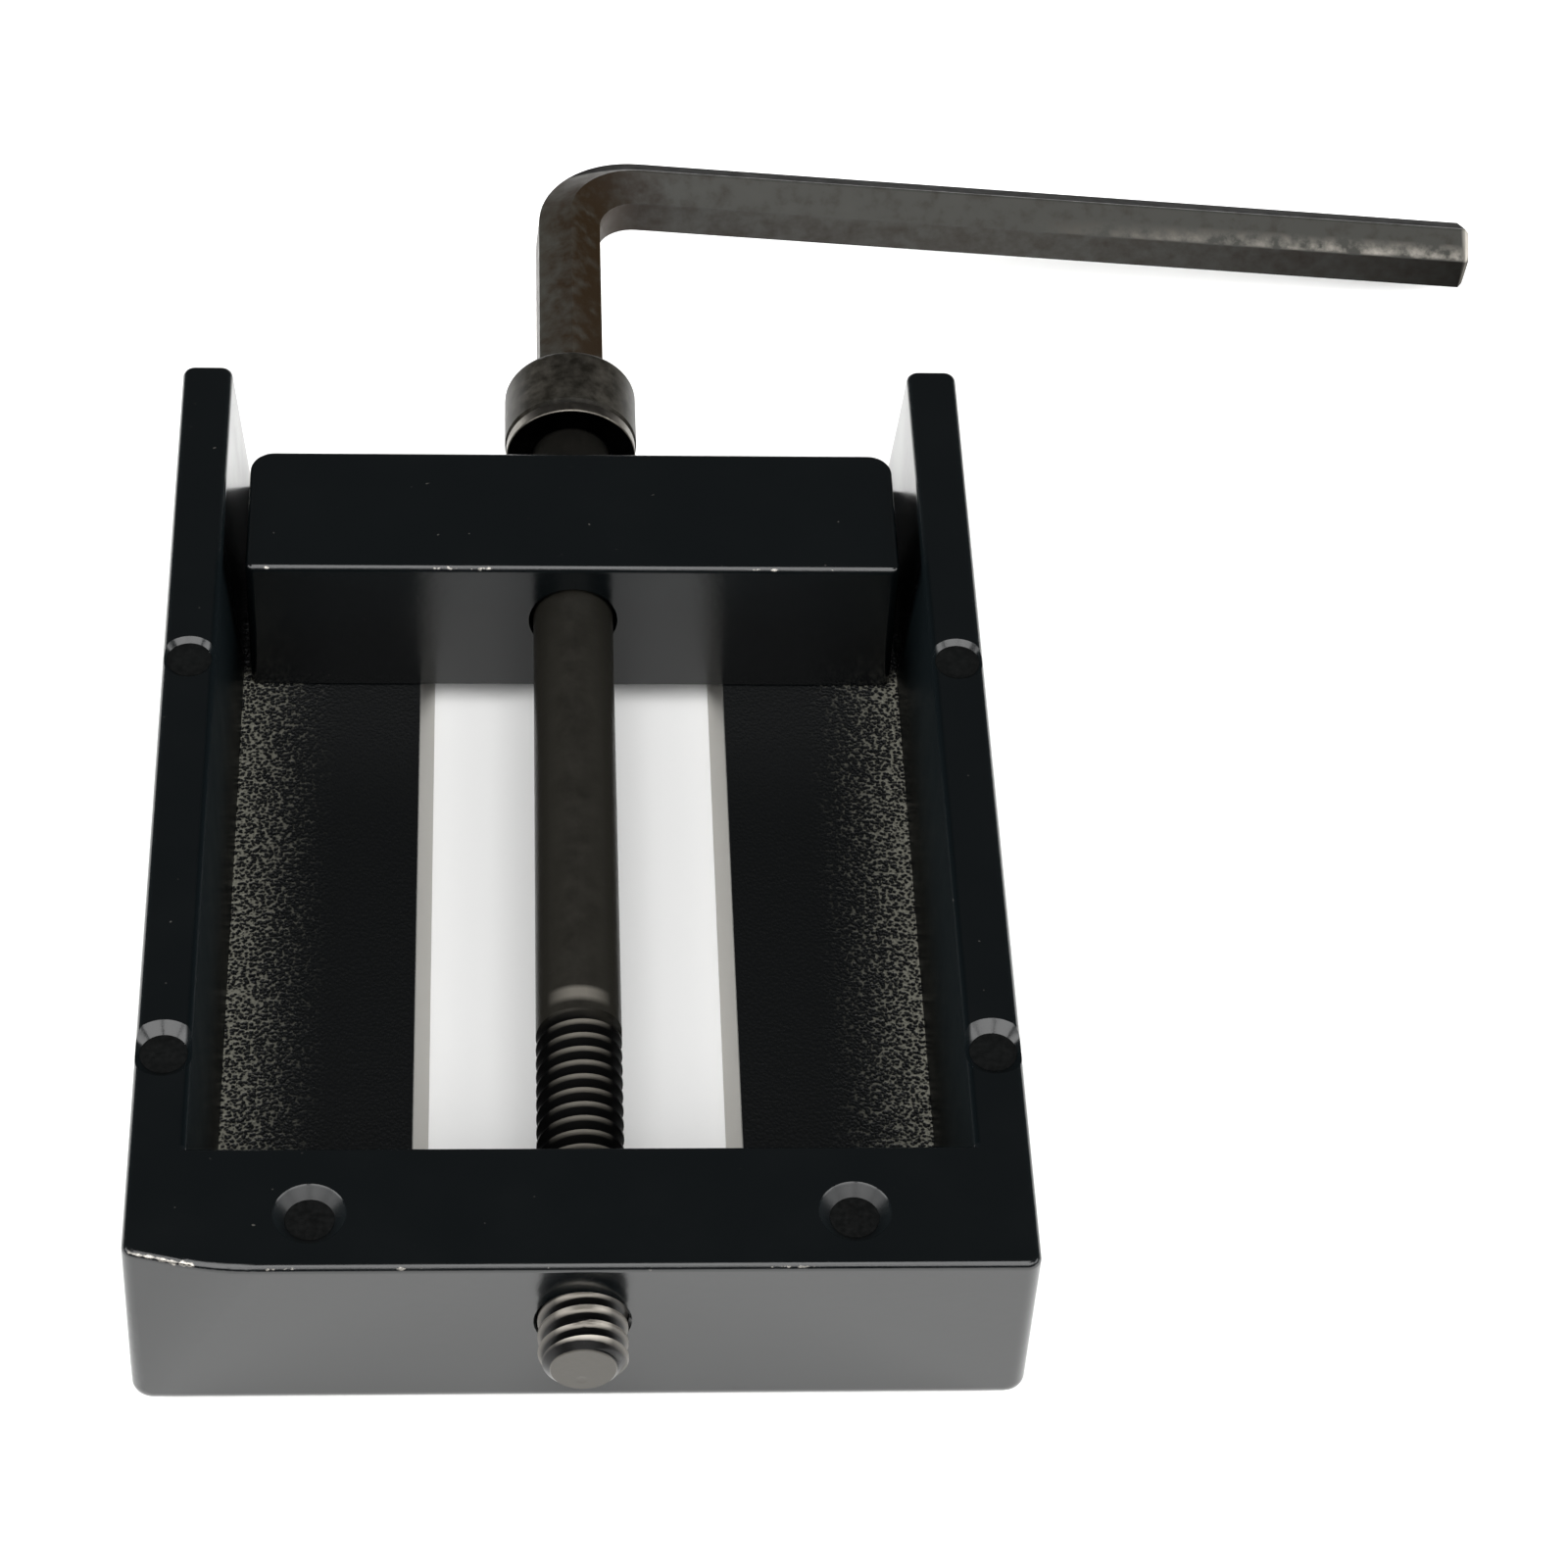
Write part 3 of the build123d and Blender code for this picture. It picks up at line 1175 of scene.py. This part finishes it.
class ViseFinish(bpy.types.PropertyGroup):
    """Colours and grain of the vise's finishes."""

    enamel_colour: bpy.props.FloatVectorProperty(
        name="Enamel",
        description="Colour of the frame's and the jaw's enamel",
        default=linear("#040607"),
        subtype="COLOR",
        min=0.0,
        max=1.0,
    )
    chip_colour: bpy.props.FloatVectorProperty(
        name="Chips",
        description="Colour of the bare steel in chips of the enamel",
        default=linear("#a8a49d"),
        subtype="COLOR",
        min=0.0,
        max=1.0,
    )
    paint_colour: bpy.props.FloatVectorProperty(
        name="Wrinkle paint",
        description="Colour of the paint on the floor plates",
        default=linear("#030506"),
        subtype="COLOR",
        min=0.0,
        max=1.0,
    )
    # Painted highlight on the grain of the floor plates beside the rails.
    grain_glint_colour: bpy.props.FloatVectorProperty(
        name="Dust",
        description="Colour of the dust in the paint's grain beside the rails",
        default=linear("#807f74"),
        subtype="COLOR",
        min=0.0,
        max=1.0,
    )
    milled_colour: bpy.props.FloatVectorProperty(
        name="Milled bevel",
        description="Colour of the bare bevel along the slot",
        default=linear("#c2c0bb"),
        subtype="COLOR",
        min=0.0,
        max=1.0,
    )
    rivet_colour: bpy.props.FloatVectorProperty(
        name="Rivets",
        description="Colour of the rivets' ends",
        default=linear("#060707"),
        subtype="COLOR",
        min=0.0,
        max=1.0,
    )
    oxide_colour: bpy.props.FloatVectorProperty(
        name="Black oxide",
        description="Colour of the screw's shank",
        default=linear("#171613"),
        subtype="COLOR",
        min=0.0,
        max=1.0,
    )
    # Also the painted highlight along the top of the screw.
    worn_oxide_and_highlight_colour: bpy.props.FloatVectorProperty(
        name="Worn oxide",
        description="Colour of the screw where its oxide is rubbed",
        default=linear("#5a5751"),
        subtype="COLOR",
        min=0.0,
        max=1.0,
    )
    # Painted shade on the screw, the washer's face and the key.
    painted_shade_colour: bpy.props.FloatVectorProperty(
        name="Oil and soot",
        description="Colour of the oil on the screw and the washer and of the soot on the key",
        default=linear("#030303"),
        subtype="COLOR",
        min=0.0,
        max=1.0,
    )
    end_colour: bpy.props.FloatVectorProperty(
        name="Screw end",
        description="Colour of the screw's end face",
        default=linear("#3c3a36"),
        subtype="COLOR",
        min=0.0,
        max=1.0,
    )
    head_colour: bpy.props.FloatVectorProperty(
        name="Screw head",
        description="Colour of the screw's head",
        default=linear("#0f0e0b"),
        subtype="COLOR",
        min=0.0,
        max=1.0,
    )
    # Also the painted highlight on the tip's crests and the key's end.
    bare_steel_colour: bpy.props.FloatVectorProperty(
        name="Bare steel",
        description="Colour of the bare crests at the screw's tip and of the key's rubbed strip",
        default=linear("#c4beb4"),
        subtype="COLOR",
        min=0.0,
        max=1.0,
    )
    washer_colour: bpy.props.FloatVectorProperty(
        name="Washer",
        description="Colour of the washer",
        default=linear("#716d66"),
        subtype="COLOR",
        min=0.0,
        max=1.0,
    )
    key_colour: bpy.props.FloatVectorProperty(
        name="Key",
        description="Main colour of the hex key",
        default=linear("#282825"),
        subtype="COLOR",
        min=0.0,
        max=1.0,
    )
    key_brown: bpy.props.FloatVectorProperty(
        name="Key, brown",
        description="Browner colour of the hex key's scale",
        default=linear("#160f07"),
        subtype="COLOR",
        min=0.0,
        max=1.0,
    )
    grain_size: bpy.props.FloatProperty(
        name="Paint grain",
        description="Width of one grain of the wrinkle paint",
        default=0.28 * MM,
        min=0.1 * MM,
        unit="LENGTH",
    )


class ViseStage(bpy.types.PropertyGroup):
    """The camera's place, the floor and the lights."""

    camera_place: bpy.props.FloatVectorProperty(
        name="Camera place",
        description="Where the camera stands, in the vise's own frame",
        default=(-5.54 * MM, -175.5 * MM, 250.99 * MM),
        subtype="TRANSLATION",
        unit="LENGTH",
    )
    camera_pitch: bpy.props.FloatProperty(
        name="Camera pitch",
        description="How far the camera looks down",
        default=math.radians(47.82),
        subtype="ANGLE",
    )
    camera_heading: bpy.props.FloatProperty(
        name="Camera heading",
        description="How far the camera turns to the right of the screw's axis",
        default=math.radians(5.45),
        subtype="ANGLE",
    )
    camera_roll: bpy.props.FloatProperty(
        name="Camera roll",
        description="How far the camera leans",
        default=math.radians(-4.13),
        subtype="ANGLE",
    )
    focal_pixels: bpy.props.FloatProperty(
        name="Focal length",
        description="Focal length in pixels of the photograph",
        default=4545.0,
        subtype="PIXEL",
    )
    floor_colour: bpy.props.FloatVectorProperty(
        name="Floor",
        description="Colour of the paper that the vise stands on",
        default=linear("#f3f3f2"),
        subtype="COLOR",
        min=0.0,
        max=1.0,
    )
    side_power: bpy.props.FloatProperty(
        name="Side lights",
        description="Power of each low light at the side",
        default=55.0,
        unit="POWER",
    )
    front_power: bpy.props.FloatProperty(
        name="Front lights",
        description="Power of each light beside the camera",
        default=6.5,
        unit="POWER",
    )
    wing_power: bpy.props.FloatProperty(
        name="Wing lights",
        description="Power of each light high up at the sides",
        default=3.5,
        unit="POWER",
    )
    top_power: bpy.props.FloatProperty(
        name="Top light",
        description="Power of the soft light overhead",
        default=7.5,
        unit="POWER",
    )


class VISE_OT_frame(bpy.types.Operator):
    """Finish the U-shaped frame in chipped black enamel"""

    bl_idname = "vise.frame"
    bl_label = "Frame"

    def execute(self, context):
        finish = context.scene.vise_finish
        enamel = black_enamel("stoved_black_enamel", finish, frame_low[1], frame_high[2], True)
        dress(["frame"], enamel)
        return {"FINISHED"}


class VISE_OT_plates(bpy.types.Operator):
    """Finish both floor plates in wrinkle paint with a milled bevel"""

    bl_idname = "vise.plates"
    bl_label = "Floor plates"

    def execute(self, context):
        dress(PLATES, wrinkle_paint(context.scene.vise_finish))
        return {"FINISHED"}


class VISE_OT_rivets(bpy.types.Operator):
    """Finish the rivets that hold the floor plates"""

    bl_idname = "vise.rivets"
    bl_label = "Rivets"

    def execute(self, context):
        dress(RIVETS, rivet_black(context.scene.vise_finish))
        return {"FINISHED"}


class VISE_OT_jaw(bpy.types.Operator):
    """Finish the sliding jaw in chipped black enamel"""

    bl_idname = "vise.jaw"
    bl_label = "Sliding jaw"

    def execute(self, context):
        finish = context.scene.vise_finish
        enamel = black_enamel("jaw_black_enamel", finish, jaw_low[1], jaw_high[2], False)
        dress(["sliding_jaw"], enamel)
        return {"FINISHED"}


class VISE_OT_screw(bpy.types.Operator):
    """Finish the clamp screw in worn black oxide"""

    bl_idname = "vise.screw"
    bl_label = "Clamp screw"

    def execute(self, context):
        dress(["clamp_screw"], black_oxide(context.scene.vise_finish))
        return {"FINISHED"}


class VISE_OT_washer(bpy.types.Operator):
    """Finish the washer under the screw's head"""

    bl_idname = "vise.washer"
    bl_label = "Washer"

    def execute(self, context):
        dress(["head_washer"], turned_washer(context.scene.vise_finish))
        return {"FINISHED"}


class VISE_OT_key(bpy.types.Operator):
    """Finish the hex key in tempered steel"""

    bl_idname = "vise.key"
    bl_label = "Hex key"

    def execute(self, context):
        dress(["hex_key"], tempered_key(context.scene.vise_finish))
        return {"FINISHED"}


class VISE_OT_stage(bpy.types.Operator):
    """Make the floor, the lights and the camera"""

    bl_idname = "vise.stage"
    bl_label = "Stage"

    def execute(self, context):
        scene = context.scene
        stage = scene.vise_stage
        self.make_floor(context, stage)
        self.make_lights(scene, stage)
        self.make_camera(scene, stage)
        scene.view_settings.view_transform = "Standard"
        return {"FINISHED"}

    def make_floor(self, context, stage):
        """Pale matte paper just under the vise."""
        bpy.ops.mesh.primitive_plane_add(size=FLOOR_SIDE, location=(0, 0, cad_box[0].z - FLOOR_GAP))
        floor = context.object
        floor.name = "floor"
        material, tree, where = new_material("pale_matte_paper")
        fibre = node(
            tree,
            "ShaderNodeTexNoise",
            {"Vector": where, "Scale": 1 / fibre_width, "Detail": 3.0},
        )
        tooth = node(
            tree,
            "ShaderNodeBump",
            {"Height": fibre.outputs["Fac"], "Strength": 0.05, "Distance": fibre_depth * MM},
        )
        shader = node(
            tree,
            "ShaderNodeBsdfPrincipled",
            {"Base Color": stage.floor_colour, "Roughness": 0.9, "Normal": tooth.outputs["Normal"]},
        )
        node(tree, "ShaderNodeOutputMaterial", {"Surface": shader.outputs["BSDF"]})
        floor.data.materials.append(material)

    def make_lights(self, scene, stage):
        """Two low side lights, two beside the camera, two high wings and a soft one overhead.

        Places and sizes are in metres. The side lights don't show as reflections.
        """
        world = bpy.data.worlds.new("studio")
        world.use_nodes = True
        sky = world.node_tree.nodes["Background"]
        sky.inputs["Color"].default_value = (WORLD_GREY, WORLD_GREY, WORLD_GREY, 1)
        scene.world = world
        for name, place, size, power, mirrored in (
            ("left", (-1.05, 0.0, 0.19), (1.2, 0.23), stage.side_power, False),
            ("right", (1.05, 0.0, 0.19), (1.2, 0.23), stage.side_power, False),
            ("front left", (-0.5, -0.75, 0.95), (1.0, 0.6), stage.front_power, True),
            ("front right", (0.5, -0.75, 0.95), (1.0, 0.6), stage.front_power, True),
            ("wing left", (-1.2, -0.2, 0.7), (0.8, 0.4), stage.wing_power, True),
            ("wing right", (1.2, -0.2, 0.7), (0.8, 0.4), stage.wing_power, True),
            ("overhead", (0.0, -0.25, 1.2), (0.8, 0.8), stage.top_power, True),
        ):
            data = bpy.data.lights.new(name, "AREA")
            data.shape = "RECTANGLE"
            data.size, data.size_y = size
            data.energy = power
            lamp = bpy.data.objects.new(name, data)
            lamp.location = place
            lamp.visible_glossy = mirrored
            aim = Vector(LIGHT_AIM) - Vector(place)
            lamp.rotation_euler = aim.to_track_quat("-Z", "Y").to_euler()
            scene.collection.objects.link(lamp)

    def make_camera(self, scene, stage):
        """A camera at the photograph's place and angle."""
        data = bpy.data.cameras.new("camera")
        data.sensor_width = SENSOR_WIDTH
        data.lens = stage.focal_pixels / PHOTO_SIDE * SENSOR_WIDTH
        data.clip_start = CLIP_START
        data.clip_end = CLIP_END
        camera = bpy.data.objects.new("camera", data)
        pitch, heading, roll = stage.camera_pitch, stage.camera_heading, stage.camera_roll
        ahead = Vector((
            math.sin(heading) * math.cos(pitch),
            math.cos(heading) * math.cos(pitch),
            -math.sin(pitch),
        ))
        right = Vector((math.cos(heading), -math.sin(heading), 0))
        down = ahead.cross(right)
        across = right * math.cos(roll) + down * math.sin(roll)
        upward = right * math.sin(roll) - down * math.cos(roll)
        turn = Matrix((across, upward, -ahead)).transposed().to_4x4()
        camera.matrix_world = Matrix.Translation(stage.camera_place) @ turn
        scene.collection.objects.link(camera)
        scene.camera = camera


OPERATORS = (
    VISE_OT_frame,
    VISE_OT_plates,
    VISE_OT_rivets,
    VISE_OT_jaw,
    VISE_OT_screw,
    VISE_OT_washer,
    VISE_OT_key,
    VISE_OT_stage,
)


class VISE_PT_pieces(bpy.types.Panel):
    """Lists the vise's pieces, its finishes and its stage"""

    bl_idname = "VISE_PT_pieces"
    bl_label = "Small screw vise"
    bl_space_type = "VIEW_3D"
    bl_region_type = "UI"
    bl_category = "Vise"

    def draw(self, context):
        column = self.layout.column()
        for settings in (context.scene.vise_finish, context.scene.vise_stage):
            for name in settings.__annotations__:
                column.prop(settings, name)
        for operator in OPERATORS:
            column.operator(operator.bl_idname)


CLASSES = (ViseFinish, ViseStage, *OPERATORS, VISE_PT_pieces)


def register():
    for item in CLASSES:
        bpy.utils.register_class(item)
    bpy.types.Scene.vise_finish = bpy.props.PointerProperty(type=ViseFinish)
    bpy.types.Scene.vise_stage = bpy.props.PointerProperty(type=ViseStage)


def unregister():
    del bpy.types.Scene.vise_stage
    del bpy.types.Scene.vise_finish
    for item in reversed(CLASSES):
        bpy.utils.unregister_class(item)


def main():
    register()
    bpy.ops.vise.frame()
    bpy.ops.vise.plates()
    bpy.ops.vise.rivets()
    bpy.ops.vise.jaw()
    bpy.ops.vise.screw()
    bpy.ops.vise.washer()
    bpy.ops.vise.key()
    bpy.ops.vise.stage()


if __name__ == "__main__":
    main()
